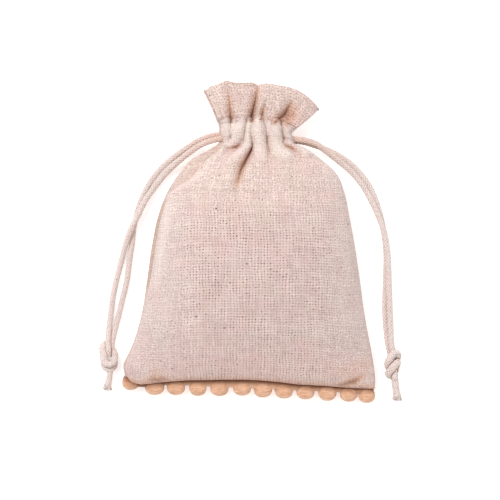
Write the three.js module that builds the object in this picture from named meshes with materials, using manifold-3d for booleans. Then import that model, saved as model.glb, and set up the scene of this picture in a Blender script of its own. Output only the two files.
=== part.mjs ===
// A cotton drawstring pouch filled with herbs, lying on its back: a sachet with a gathered neck, a frilled
// mouth, two double drawcords and a fringe of pompoms along its bottom seam.
// Millimetres, +Z up. +Y runs from the bottom seam to the mouth, and the origin lies under the middle of the
// pouch, on the surface that it rests on.
import * as THREE from "three";
import { mergeVertices } from "three/addons/utils/BufferGeometryUtils.js";
import Module from "manifold-3d";

const { smoothstep, degToRad } = THREE.MathUtils;
const wasm = await Module();
wasm.setup();

// ---- driving dimensions ----

const CLOTH = 1.0; // one layer of coarse cotton with its seam fullness
const GAP = 0.3; // clearance between pieces that touch
const BIG = 200; // larger than the pouch, for cutting blocks
const ORIGIN = new THREE.Vector3(-0.05, -0.65, 0); // the middle of the pouch and its fringe, drawcords apart

// The pouch from its bottom seam to its neck: y, left edge, right edge, underside, top.
const POUCH = [
  [-51.0, -45.4, 45.4, 3.2, 5.4],
  [-48.5, -45.7, 45.5, 1.4, 9.8],
  [-43.0, -44.9, 44.5, 0.0, 16.0],
  [-33.0, -40.9, 42.1, 0.0, 22.5],
  [-20.0, -37.9, 40.0, 0.0, 26.5],
  [-6.0, -35.9, 38.1, 0.0, 27.5],
  [8.0, -33.2, 35.6, 0.0, 25.5],
  [18.0, -29.5, 34.0, 0.0, 22.0],
  [26.0, -24.2, 30.2, 0.0, 18.5],
  [31.0, -18.5, 24.6, 0.2, 15.8],
  [36.0, -11.5, 17.8, 0.4, 14.2],
];
const BOTTOM_Y = POUCH[0][0];
const PANEL_TOP_Y = 31.2; // where the panels run in under the casing
const PRESSED = 0.4; // how much of the underside's round is pressed flat by the pouch's own weight
const PRESSED_FADE = 6; // length over which that begins at the bottom seam
const TOP_ROUND = 0.85; // exponent of the cross-section's upper half: 1 is an ellipse, less is squarer
const UNDER_ROUND = 0.55;
const CUT_BACK = 0.25; // rows of POUCH that an inset of 1 mm takes off the bottom end
const FILL_SLACK = 0.1; // the herbs keep this far from the cloth, on top of the gap

const BOTTOM_SEAM_Z = 4.2;
const SIDE_SEAM_Z = 7.3;
const SEAM_RISE = 30; // length over which the seam climbs from the one height to the other
const SEAM_ALLOWANCE = 3;
const SEAM_LAYERS = 1.2; // thickness of the two turned-in edges
const HEM_SLANT = -0.045; // the bottom seam runs a little lower at the right
const SLANT_FADE = 45; // height over which the slant dies out

const NECK = new THREE.Vector3(3.4, 37.6, SIDE_SEAM_Z);
const NECK_TILT = degToRad(-4);
const NECK_HALF_WIDTH = 13.8;
const NECK_HALF_DEPTH = 7.0;
const CASING_LENGTH = 10.4;
const CHANNEL_LENGTH = 6.6;
const CHANNEL_DEPTH = 2.7;
const CORE_HALF_WIDTH = 5.0;

const RUFFLE_TILT = degToRad(-5); // past the neck's own tilt
const RUFFLE_LENGTH = 14.4;
const RUFFLE_ROOT = 2; // the frill's cone starts this far inside the casing
const RUFFLE_ROOT_HALF_WIDTH = NECK_HALF_WIDTH - 2;
const RUFFLE_ROOT_SWELL = 1.2; // extra half depth there, from the tighter gathers
const RUFFLE_HALF_WIDTH = 20.8;
const RUFFLE_HALF_DEPTH = 4.8;
const RUFFLE_FAN = 6; // how far the hem's ends drop below its middle
const RUFFLE_PLEATS = 9;
const RUFFLE_PLEAT_DEPTH = 0.5;
const RUFFLE_PLEAT_FADE = 2; // half depth over which the pleats fade to nothing at the middle

const CORD_RADIUS = 1.05;
const CORD_SIDES = 8;
const CORD_STEPS = 24;
const LOOP_POINTS = 24;
const LOOP_STEPS = 20;
const END_STEPS = 5;
const EXIT_CLEARANCE = 0.45; // round the strands in the sleeve where they leave
const LOOP_OPENING = 34; // degrees left open each side of the cord's exit
const STACK = 1.2; // half the distance between a cord's two strands where they leave the neck
const CORD_LEVEL = -1.4; // the drawcords leave a little below the casing's middle
const LOOP_SPACING = 4.5; // between the two cords in the channel

// Each double drawcord from its sleeve to its knot: x, y, distance between its strands across the run,
// height of the strand that lies over, height of the strand that lies under.
const LEFT_RUN = [
  [-3.6, 36.7, 0.0, 8.5, 6.1],
  [-7.5, 37.0, 0.0, 8.5, 6.1],
  [-11.6, 37.1, 0.0, 8.5, 6.1],
  [-16.8, 35.6, -0.6, 8.0, 5.6],
  [-22.3, 32.5, -1.5, 6.1, 4.1],
  [-27.0, 29.1, -2.2, 3.9, 2.7],
  [-31.5, 25.0, -2.5, 1.9, 1.6],
  [-35.6, 19.8, -2.3, 1.9, 1.1],
  [-38.4, 15.0, -1.6, 3.0, 1.1],
  [-40.9, 8.8, -0.6, 3.6, 1.1],
  [-42.6, 4.0, 0.8, 3.5, 1.1],
  [-43.7, -0.8, 2.1, 2.4, 1.1],
  [-44.7, -5.4, 2.6, 1.3, 1.1],
  [-46.4, -14.2, 3.7, 1.15, 1.1],
  [-47.7, -20.0, 3.6, 1.1, 1.1],
  [-48.9, -26.5, 2.9, 1.1, 1.1],
  [-50.0, -32.5, 2.5, 1.3, 1.3],
  [-50.6, -36.9, 2.5, 2.2, 2.2],
];
const RIGHT_RUN = [
  [10.4, 35.7, 0.0, 8.5, 6.1],
  [14.3, 35.4, 0.0, 8.5, 6.1],
  [18.6, 35.4, 0.0, 8.5, 6.1],
  [23.2, 34.6, 0.5, 7.9, 5.5],
  [27.6, 32.5, 1.1, 6.1, 3.9],
  [32.4, 29.5, 1.7, 4.4, 2.6],
  [37.3, 25.6, 2.0, 2.9, 1.5],
  [41.6, 20.3, 2.0, 2.5, 1.1],
  [44.6, 14.6, 1.6, 3.0, 1.1],
  [46.8, 8.8, 0.8, 3.4, 1.1],
  [48.4, 3.1, 0.0, 3.6, 1.1],
  [49.4, -4.0, -0.4, 3.6, 1.1],
  [49.6, -11.0, -0.8, 3.4, 1.1],
  [49.6, -18.0, -1.3, 3.2, 1.1],
  [49.7, -25.7, -1.7, 2.9, 1.1],
  [50.0, -31.5, -1.6, 3.0, 1.1],
  [50.5, -37.3, -1.3, 3.3, 1.3],
];

// Each overhand knot's centre and lean, and where the two cord ends below it stop.
const LEFT_KNOT = { x: -51.0, y: -42.1, lean: degToRad(-4), endX: -51.4, endY: -53.4 };
const RIGHT_KNOT = { x: 51.3, y: -43.2, lean: degToRad(-6), endX: 53.0, endY: -57.4 };
const KNOT_HALF_WIDTH = 3.1;
const KNOT_HALF_LENGTH = 5.0;
const KNOT_HEIGHT = 5.6;
const KNOT_ROUND = 0.7; // exponent of its outline: 1 is an ellipse, less is squarer
const KNOT_RINGS = 10;
const END_SIDE = 0.35; // the two ends leave the knot a little right of its middle
const END_BOW = 0.2;
const OVER_END_Z = 3.73;
const UNDER_END_SHORTER = 1;

const POMPOM_COUNT = 12;
const POMPOM_PITCH = 7.68;
const POMPOM_WIDTH = 6.8;
const POMPOM_LENGTH = 5.6;
const POMPOM_HEIGHT = 6.2;
const POMPOM_DROP = 1.15; // its centre below the braid's edge
const POMPOM_Z = 3.15;
const BRAID_WIDTH = 1.7;
const BRAID_THICKNESS = 0.9;
const BRAID_HALF_LENGTH = 44.4;

// ---- materials ----

const material = (color, roughness) => new THREE.MeshStandardMaterial({ color, roughness, metalness: 0 });
const cotton = material(0xdcc6bb, 0.95);
const cottonShade = material(0xd2b9ab, 0.95);
const cordCotton = material(0xe3d3ca, 0.9);
const tanYarn = material(0xd9a67c, 0.9);
const herbs = material(0x7b7a4c, 1.0);

// ---- helpers ----

const point = (...xyz) => new THREE.Vector3(...xyz);

// A closed geometry as a manifold-3d solid.
function toSolid(geometry) {
  const bare = geometry.clone();
  bare.deleteAttribute("normal");
  bare.deleteAttribute("uv");
  const merged = mergeVertices(bare, 1e-4);
  return new wasm.Manifold(
    new wasm.Mesh({
      numProp: 3,
      vertProperties: merged.attributes.position.array,
      triVerts: new Uint32Array(merged.index.array),
    }),
  );
}

function toGeometry(solid) {
  const mesh = solid.getMesh();
  return new THREE.BufferGeometry()
    .setAttribute("position", new THREE.BufferAttribute(mesh.vertProperties, 3))
    .setIndex(new THREE.BufferAttribute(mesh.triVerts, 1));
}

// Adds a named piece, given as a geometry or as a solid.
function piece(parent, name, shape, finish) {
  const geometry = shape.isBufferGeometry ? shape : toGeometry(shape);
  const mesh = new THREE.Mesh(geometry, finish);
  mesh.name = name;
  parent.add(mesh);
  return mesh;
}

function block(x0, x1, y0, y1, z0, z1) {
  const box = new THREE.BoxGeometry(x1 - x0, y1 - y0, z1 - z0);
  return toSolid(box.translate((x0 + x1) / 2, (y0 + y1) / 2, (z0 + z1) / 2));
}

// A closed solid along Y. section(t), for t from 0 to 1, gives y, the left and right edges, the lowest and
// highest points and the height of the widest points.
function loft(section, around, steps) {
  const geometry = new THREE.CylinderGeometry(1, 1, 1, around, steps);
  const position = geometry.attributes.position;
  for (let i = 0; i < position.count; i++) {
    const s = section(position.getY(i) + 0.5);
    const across = position.getX(i);
    const up = position.getZ(i);
    const x = (s.left + s.right) / 2 + (across * (s.right - s.left)) / 2;
    const reach = Math.sign(up) * Math.abs(up) ** (up > 0 ? s.roundTop ?? 1 : s.roundUnder ?? 1);
    const z = s.middle + reach * (up > 0 ? s.high - s.middle : s.middle - s.low);
    position.setXYZ(i, x, s.y, z);
  }
  return geometry;
}

// ---- the pouch's body ----

const seamHeight = (y) =>
  BOTTOM_SEAM_Z + (SIDE_SEAM_Z - BOTTOM_SEAM_Z) * smoothstep(y, BOTTOM_Y, BOTTOM_Y + SEAM_RISE);

// The two edges and the two heights of POUCH as smooth curves on one parameter.
const edges = new THREE.CatmullRomCurve3(POUCH.map(([y, left, right]) => point(y, left, right)));
const heights = new THREE.CatmullRomCurve3(POUCH.map(([y, , , low, high]) => point(y, low, high)));

// The pouch's cross-section at t, drawn in by sideInset along its edges and by faceInset under and over.
function pouchSection(t, sideInset, faceInset) {
  const cutBack = (sideInset * CUT_BACK) / (POUCH.length - 1);
  const at = cutBack + t * (1 - cutBack);
  const edge = edges.getPoint(at);
  const height = heights.getPoint(at);
  const middle = seamHeight(edge.x);
  const underside = height.y - PRESSED * smoothstep(edge.x, BOTTOM_Y, BOTTOM_Y + PRESSED_FADE);
  return {
    y: edge.x,
    left: edge.y + sideInset,
    right: edge.z - sideInset,
    low: Math.min(underside + faceInset, middle - GAP / 2),
    high: Math.max(height.z - faceInset, middle + GAP / 2),
    middle,
    roundTop: TOP_ROUND,
    roundUnder: UNDER_ROUND,
  };
}

function pouchLoft(sideInset, faceInset, around = 32, steps = 18) {
  const geometry = loft((t) => pouchSection(t, sideInset, faceInset), around, steps);
  const position = geometry.attributes.position;
  for (let i = 0; i < position.count; i++) {
    const y = position.getY(i);
    const slant = HEM_SLANT * (1 - smoothstep(y, BOTTOM_Y, BOTTOM_Y + SLANT_FADE));
    position.setY(i, y + slant * position.getX(i));
  }
  return toSolid(geometry);
}

// Everything over the seam's surface lifted by rise, or everything under it.
function seamSide(above, rise) {
  const box = new THREE.BoxGeometry(BIG, BIG, BIG, 1, 50, 1);
  const position = box.attributes.position;
  for (let i = 0; i < position.count; i++) {
    const onSeam = above ? position.getZ(i) < 0 : position.getZ(i) > 0;
    if (onSeam) position.setZ(i, seamHeight(position.getY(i)) + rise);
  }
  return toSolid(box);
}

function addBody(pouch) {
  const overSurface = block(-BIG, BIG, -BIG, PANEL_TOP_Y, 0, BIG);
  const shell = pouchLoft(0, 0).subtract(pouchLoft(CLOTH, CLOTH)).intersect(overSurface);
  piece(pouch, "back_panel", shell.intersect(seamSide(false, -GAP / 2)), cottonShade);
  piece(pouch, "front_panel", shell.intersect(seamSide(true, GAP / 2)), cotton);

  const allowance = pouchLoft(CLOTH + GAP, CLOTH + GAP)
    .subtract(pouchLoft(CLOTH + GAP + SEAM_ALLOWANCE, -CLOTH))
    .intersect(seamSide(true, -SEAM_LAYERS / 2))
    .intersect(seamSide(false, SEAM_LAYERS / 2))
    .intersect(block(-BIG, BIG, -BIG, PANEL_TOP_Y, -BIG, BIG));
  const left = block(-BIG, -GAP, -BIG, BIG, -BIG, BIG);
  const right = block(GAP, BIG, -BIG, BIG, -BIG, BIG);
  piece(pouch, "left_seam_allowance", allowance.intersect(left), cottonShade);
  piece(pouch, "right_seam_allowance", allowance.intersect(right), cottonShade);

  const fillTop = block(-BIG, BIG, -BIG, PANEL_TOP_Y - 3 * GAP, -BIG, BIG);
  const filling = pouchLoft(CLOTH + SEAM_ALLOWANCE + 2 * GAP, CLOTH + GAP + FILL_SLACK, 24, 14);
  piece(pouch, "herb_filling", filling.intersect(fillTop), herbs);
}

// ---- the gathered neck: casing, cloth core and frilled mouth ----

// An elliptic solid on the neck's axis, from y0 to y1.
function oval(halfWidth, halfDepth, y0, y1, around = 36) {
  const section = (t) => ({
    y: y0 + t * (y1 - y0),
    left: -halfWidth,
    right: halfWidth,
    low: -halfDepth,
    high: halfDepth,
    middle: 0,
  });
  return toSolid(loft(section, around, 1));
}

function addNeck(neck) {
  const half = CASING_LENGTH / 2;
  const inner = CLOTH + CHANNEL_DEPTH;
  const [low, high] = [CORD_LEVEL - CHANNEL_LENGTH / 2, CORD_LEVEL + CHANNEL_LENGTH / 2];
  const cavity = oval(NECK_HALF_WIDTH - CLOTH, NECK_HALF_DEPTH - CLOTH, low, high).subtract(
    oval(NECK_HALF_WIDTH - inner, NECK_HALF_DEPTH - inner, -BIG, BIG),
  );
  const sleeveHeight = STACK + CORD_RADIUS + EXIT_CLEARANCE;
  const sleeveWidth = CORD_RADIUS + 2 * EXIT_CLEARANCE;
  const [from, to] = [CORD_LEVEL - sleeveWidth, CORD_LEVEL + sleeveWidth];
  const sleeve = block(-BIG, BIG, from, to, -sleeveHeight, sleeveHeight);
  const coreSpace = oval(NECK_HALF_WIDTH - inner - CLOTH, NECK_HALF_DEPTH - inner - CLOTH, -BIG, BIG);
  const casing = oval(NECK_HALF_WIDTH, NECK_HALF_DEPTH, -half, half)
    .subtract(cavity)
    .subtract(sleeve)
    .subtract(coreSpace);
  const front = block(-BIG, BIG, -BIG, BIG, GAP / 2, BIG);
  const back = block(-BIG, BIG, -BIG, BIG, -BIG, -GAP / 2);
  piece(neck, "front_casing", casing.intersect(front), cotton);
  piece(neck, "back_casing", casing.intersect(back), cottonShade);

  const coreDepth = NECK_HALF_DEPTH - inner - CLOTH - GAP;
  piece(neck, "gathered_core", oval(CORE_HALF_WIDTH, coreDepth, -half, half, 20), cottonShade);

  const aboveCasing = block(-BIG, BIG, half + GAP, BIG, -BIG, BIG);
  const frill = ruffle(half - RUFFLE_ROOT).intersect(aboveCasing);
  piece(neck, "front_ruffle", frill.intersect(front), cotton);
  piece(neck, "back_ruffle", frill.intersect(back), cottonShade);
}

// The frill from y0 upwards: flared and pleated, with a hem that is a shallow fan. Its two layers lie pressed
// together, so each is as thick as its gathers.
function ruffle(y0) {
  const section = (t) => {
    const flare = smoothstep(t, -0.5, 1);
    const halfWidth = RUFFLE_ROOT_HALF_WIDTH + (RUFFLE_HALF_WIDTH - RUFFLE_ROOT_HALF_WIDTH) * flare;
    const halfDepth = RUFFLE_HALF_DEPTH + (1 - t) * RUFFLE_ROOT_SWELL;
    const y = y0 + t * (RUFFLE_LENGTH + RUFFLE_ROOT);
    return { y, left: -halfWidth, right: halfWidth, low: -halfDepth, high: halfDepth, middle: 0 };
  };
  const geometry = loft(section, 48, 4);
  const position = geometry.attributes.position;
  for (let i = 0; i < position.count; i++) {
    const across = position.getX(i) / RUFFLE_HALF_WIDTH;
    const rise = (position.getY(i) - y0) / RUFFLE_LENGTH;
    const pleat = RUFFLE_PLEAT_DEPTH * rise * Math.cos(across * RUFFLE_PLEATS * Math.PI);
    const reach = Math.min(1, Math.abs(position.getZ(i)) / RUFFLE_PLEAT_FADE);
    position.setY(i, position.getY(i) - RUFFLE_FAN * rise * across ** 2);
    position.setZ(i, position.getZ(i) + pleat * reach * Math.sign(position.getZ(i)));
  }
  return toSolid(geometry.rotateZ(RUFFLE_TILT));
}

// ---- the drawcords ----

const cordSection = new THREE.Shape().absarc(0, 0, CORD_RADIUS, 0, 2 * Math.PI);
const curveSegments = CORD_SIDES / 2; // for each half of the section's circle

function tube(points, steps) {
  const extrudePath = new THREE.CatmullRomCurve3(points);
  return new THREE.ExtrudeGeometry(cordSection, { steps, curveSegments, extrudePath });
}

// One cord's turn round the neck inside the channel, open at the side where the cord leaves.
function addLoop(neck, name, side) {
  const middle = CLOTH + CHANNEL_DEPTH / 2;
  const opening = degToRad(LOOP_OPENING);
  const points = [];
  for (let k = 0; k <= LOOP_POINTS; k++) {
    const angle = opening + (k / LOOP_POINTS) * (2 * Math.PI - 2 * opening);
    const x = side * (NECK_HALF_WIDTH - middle) * Math.cos(angle);
    const z = (NECK_HALF_DEPTH - middle) * Math.sin(angle);
    points.push(point(x, CORD_LEVEL + (side * LOOP_SPACING) / 2, z));
  }
  piece(neck, name, tube(points, LOOP_STEPS), cordCotton);
}

// The centreline of one strand of a double cord: over is true for the strand that lies over the other.
function strandPoints(run, over) {
  const centre = new THREE.CatmullRomCurve3(run.map(([x, y]) => point(x, y, 0)));
  return run.map(([x, y, spread, high, low], k) => {
    const along = centre.getTangent(k / (run.length - 1));
    const offset = (over ? -spread : spread) / 2;
    return point(x - along.y * offset, y + along.x * offset, over ? high : low);
  });
}

function addDrawcord(pouch, side, run, knot) {
  piece(pouch, side + "_cord_over_strand", tube(strandPoints(run, true), CORD_STEPS), cordCotton);
  piece(pouch, side + "_cord_under_strand", tube(strandPoints(run, false), CORD_STEPS), cordCotton);

  const profile = [];
  for (let k = 0; k <= KNOT_RINGS; k++) {
    const angle = -Math.PI / 2 + (k / KNOT_RINGS) * Math.PI;
    profile.push(new THREE.Vector2(Math.max(0, Math.cos(angle)) ** KNOT_ROUND, Math.sin(angle)));
  }
  const body = new THREE.LatheGeometry(profile, 16).scale(KNOT_HALF_WIDTH, KNOT_HALF_LENGTH, KNOT_HEIGHT / 2);
  const knotMesh = piece(pouch, side + "_knot", body, cordCotton);
  knotMesh.position.set(knot.x, knot.y, KNOT_HEIGHT / 2);
  knotMesh.rotation.z = knot.lean;

  const top = knot.y - KNOT_HALF_LENGTH - GAP;
  for (const [which, z, shorter] of [["first", OVER_END_Z, 0], ["second", CORD_RADIUS, UNDER_END_SHORTER]]) {
    const points = [
      point(knot.x + END_SIDE, top, z),
      point((knot.x + knot.endX) / 2 + END_BOW, (top + knot.endY) / 2, z),
      point(knot.endX, knot.endY + shorter, z),
    ];
    piece(pouch, `${side}_cord_${which}_end`, tube(points, END_STEPS), cordCotton);
  }
}

// ---- the pompom fringe ----

// The braid lies along the bottom seam, and each pompom is sewn to its free edge.
function addFringe(pouch) {
  const fringe = new THREE.Group();
  fringe.position.set(0, BOTTOM_Y - GAP - BRAID_WIDTH, BOTTOM_SEAM_Z);
  fringe.rotation.z = Math.atan(HEM_SLANT);
  pouch.add(fringe);

  const braid = new THREE.BoxGeometry(2 * BRAID_HALF_LENGTH, BRAID_WIDTH, BRAID_THICKNESS);
  piece(fringe, "fringe_braid", braid.translate(0, BRAID_WIDTH / 2, 0), tanYarn);

  const round = new THREE.SphereGeometry(0.5, 12, 8).rotateX(Math.PI / 2);
  const ball = toSolid(round.scale(POMPOM_WIDTH, POMPOM_LENGTH, POMPOM_HEIGHT));
  const seat = block(-BIG, BIG, POMPOM_DROP - GAP, BIG, -BIG, BIG);
  const pompom = ball.subtract(seat);
  for (let k = 0; k < POMPOM_COUNT; k++) {
    const name = "pompom_" + String(k + 1).padStart(2, "0");
    const mesh = piece(fringe, name, pompom, tanYarn);
    mesh.position.set((k - (POMPOM_COUNT - 1) / 2) * POMPOM_PITCH, -POMPOM_DROP, POMPOM_Z - BOTTOM_SEAM_Z);
  }
}

// ---- assembly ----

const pouch = new THREE.Group();
pouch.position.copy(ORIGIN).negate();
const neck = new THREE.Group();
neck.position.copy(NECK);
neck.rotation.z = NECK_TILT;
pouch.add(neck);

addBody(pouch);
addNeck(neck);
addLoop(neck, "left_cord_loop", -1);
addLoop(neck, "right_cord_loop", 1);
addDrawcord(pouch, "left", LEFT_RUN, LEFT_KNOT);
addDrawcord(pouch, "right", RIGHT_RUN, RIGHT_KNOT);
addFringe(pouch);

export default pouch;
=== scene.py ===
"""A stuffed muslin drawstring pouch that lies on its back: two gathered cloth panels, a drawcord casing with a
ruffle above it, two doubled braided drawcords with overhand knots, and a fringe of pompoms along the bottom seam.

Lengths are in millimetres in the tables and shape functions, and turn into metres where a mesh is made.
"""

import math

import bpy
import numpy as np
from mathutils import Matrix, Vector


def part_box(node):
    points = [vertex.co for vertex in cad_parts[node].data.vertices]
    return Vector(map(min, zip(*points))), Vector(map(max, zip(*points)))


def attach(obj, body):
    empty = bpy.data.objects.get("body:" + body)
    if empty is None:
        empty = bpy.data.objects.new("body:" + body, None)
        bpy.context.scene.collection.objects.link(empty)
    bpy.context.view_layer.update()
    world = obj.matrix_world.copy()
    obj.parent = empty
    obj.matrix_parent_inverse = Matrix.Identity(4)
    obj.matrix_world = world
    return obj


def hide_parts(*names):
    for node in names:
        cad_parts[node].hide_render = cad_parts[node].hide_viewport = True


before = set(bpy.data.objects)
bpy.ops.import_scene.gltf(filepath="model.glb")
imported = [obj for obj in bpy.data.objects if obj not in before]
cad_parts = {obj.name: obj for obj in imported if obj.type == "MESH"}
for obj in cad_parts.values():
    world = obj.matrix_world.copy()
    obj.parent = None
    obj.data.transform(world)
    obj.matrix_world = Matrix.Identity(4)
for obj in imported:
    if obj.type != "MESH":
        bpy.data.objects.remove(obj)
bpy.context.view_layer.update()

MM = 0.001
SEED = 7
FINE = 1.0  # share of the full mesh density

# ---- dimensions: lengths in millimetres unless it says otherwise ----

CLOTH = 0.55  # thickness of one layer of muslin
WARP_PITCH = 1.10
WEFT_PITCH = 0.97
HEM_TURN = 8.0  # width of the turned-in hem at the mouth
HEM_ROWS = 18  # of the ruffle, in the full mesh
CORD_DIAMETER = 2.1
BRAID_BUMPS = 12  # round the cord
BRAID_PITCH = 1.3
YARNS = 26  # that stand out of a cut end
OWN_TURN = 3.4  # the least length of cord between two turns that can touch each other
STEP = 0.2 / FINE  # between the points of a cord's path
BODY_STEP = 0.62 / FINE  # between the cloth's rows
NECK_STEP = 0.32 / FINE
POMPOM_LENGTH = 5.9
POMPOM_HEIGHT = 5.3
# Each pompom, sewn on by hand: x of its middle, y of its lowest edge, width.
POMPOMS = [
    (-43.1, -53.4, 6.1), (-34.4, -55.2, 7.1), (-26.7, -55.2, 6.9), (-18.8, -55.4, 6.4), (-11, -55.5, 6.6),
    (-2.8, -55.5, 6.5), (4.7, -56, 6.7), (12.3, -56.4, 6.6), (20.1, -56.8, 6.5), (28, -57.2, 6.7),
    (35.7, -57.6, 6.5), (42.2, -58.1, 6),
]

# The pouch, row by row from its bottom seam to the mouth: y in the middle; x and y at the left end; x and y at the
# right end; height of the front's crown; height of the side seam; height of the underside; how square the section is.
ROWS = [
    (-49.9, -44.4, -50.6, 44.9, -52.6, 6.1, 4.6, 3.9, 5.6),
    (-48.6, -45.4, -48.6, 45.2, -50.6, 9, 4.6, 3.1, 4),
    (-46, -45.6, -46, 45.1, -47.6, 12.6, 4.6, 1.5, 3),
    (-41.5, -44.4, -41.8, 44.4, -42.6, 16.6, 5, 0.4, 2.6),
    (-35.5, -41.9, -35.8, 43.2, -36.2, 20.6, 5.7, 0.1, 2.4),
    (-25.2, -38.9, -25.3, 41.2, -25.4, 24.8, 6.8, 0.1, 2.2),
    (-13.5, -37, -13.5, 39.6, -13.5, 26.8, 7.3, 0.1, 2.2),
    (-1.5, -35.3, -1.5, 37.8, -1.5, 27, 7.3, 0.1, 2.2),
    (9.5, -33, 9.5, 35.8, 9.5, 25.2, 7.3, 0.1, 2.2),
    (18.5, -29.6, 18.3, 33.9, 18.3, 22, 7.3, 0.1, 2.2),
    (25.6, -24.9, 25.4, 30.8, 25.2, 18.6, 7.4, 0.2, 2.2),
    (30, -20.2, 30.4, 26.2, 29.4, 16.2, 7.4, 0.3, 2.1),
    (33.2, -13.6, 33.9, 20.2, 33.6, 13.6, 7.4, 0.4, 2.2),
    (35.2, -10.8, 36.2, 16.9, 35, 11.8, 7.4, 0.4, 2.6),
    (39, -10.6, 39.6, 16, 37.2, 11.4, 7.4, 0.4, 2.8),
    (42.6, -10.7, 42.2, 15.2, 39.2, 11.2, 7.4, 0.8, 2.8),
    (44.6, -11.4, 43.6, 15.9, 40.1, 11.3, 7.3, 1.8, 2.8),
    (48.6, -12.9, 47.6, 19, 42.6, 11.7, 7, 2.4, 2.8),
    (52.6, -14.8, 51.6, 22.4, 45.6, 11.2, 6.6, 2.8, 3.4),
    (56.2, -16.2, 54.6, 24.9, 48.2, 10.4, 6.2, 3.2, 4),
]
BOTTOM = ROWS[0][0]
BODY_TOP = 33.2
CASING_TOP = 43.2
MOUTH = ROWS[-1][0]
NECK_X = 3.0  # the neck's middle

# How far the left seam lies in from the pouch's edge, so that the back panel shows past the front one: y, inset.
LEFT_SEAM = [
    (-50, 0.5), (-24, 0.5), (-14, 1.2), (4, 1.4), (14, 1.1), (18, 0.8), (20.5, 3), (22.8, 5.2), (26, 5.8),
    (29.2, 5.5), (32, 3.8), (34, 1.5), (36, 0.4), (44, 0.1), (60, 0.05),
]

# The casing's gathers: each is a rounded tube of cloth that runs on into the body. x, y, height, half width.
TUBES = [
    [(-8.4, 42.6, 12.2, 2), (-8.5, 41.2, 13, 2.4), (-8.4, 39.4, 13, 1.9), (-8.2, 37.6, 12.7, 1.45),
     (-8.1, 36.8, 12.3, 1.2)],
    [(-5.3, 42.6, 12.6, 1.5), (-5.7, 41, 12.9, 1.4), (-6.3, 39.2, 12.5, 1)],
    [(-2.6, 42.9, 13.2, 1.6), (-3.3, 41.6, 14.2, 2.2), (-4, 40, 14.5, 2.7), (-4.4, 38, 14.1, 2.6),
     (-5.2, 36.4, 13.5, 2.3), (-7, 35.2, 12.6, 1.9), (-9.6, 34.4, 11.4, 1.5)],
    [(-3.4, 38, 13, 2.2), (-3.4, 36, 12.2, 2), (-3.6, 34.6, 11.6, 1.8)],
    [(0.2, 43.6, 13.2, 0.95), (-0.4, 41.5, 13.8, 1.1), (-0.7, 38.8, 13.9, 1.1), (-0.7, 36.6, 14.1, 1.4),
     (-0.9, 34.8, 14.4, 1.7), (-2.2, 33, 15, 1.9), (-3.9, 30.6, 16, 2.6), (-6.6, 27, 17, 3.6)],
    [(3.1, 43.9, 13.2, 1.8), (2.9, 42.2, 14.6, 2.7), (2.9, 39.8, 15.2, 3.2), (3.3, 37.2, 15, 2.9),
     (3.6, 35.2, 15.1, 2.6), (3.9, 33, 15.6, 3.2), (4, 29.6, 17, 4.6)],
    [(6.8, 42.3, 12.7, 1.5), (7, 40.6, 12.9, 1.3), (6.6, 38.8, 12.4, 0.9)],
    [(9.4, 42.6, 13.1, 1.6), (9.3, 41, 14.4, 2.4), (9, 39.2, 14.7, 2.85), (9.1, 37, 14.7, 2.95),
     (9.4, 35, 14.8, 3.2), (10.2, 33, 15.2, 4.2), (11.8, 29.8, 16.4, 5.6)],
    [(12.6, 42, 12, 1.3), (13.3, 40.3, 12.9, 2.1), (13.9, 38.7, 12.6, 2.3), (14.1, 37.6, 12.3, 2)],
    [(13.2, 35.7, 12.3, 1.3), (15.4, 35, 12.6, 1.7), (17.8, 33.8, 12.9, 2.1), (20.2, 32, 13.3, 2.6)],
]
TUBE_STEEPNESS = 1.3
TUBE_SKIRT = 1.8  # half widths, to where a tube's side has run down into the cloth
FAR_BELOW = -50.0

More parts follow.
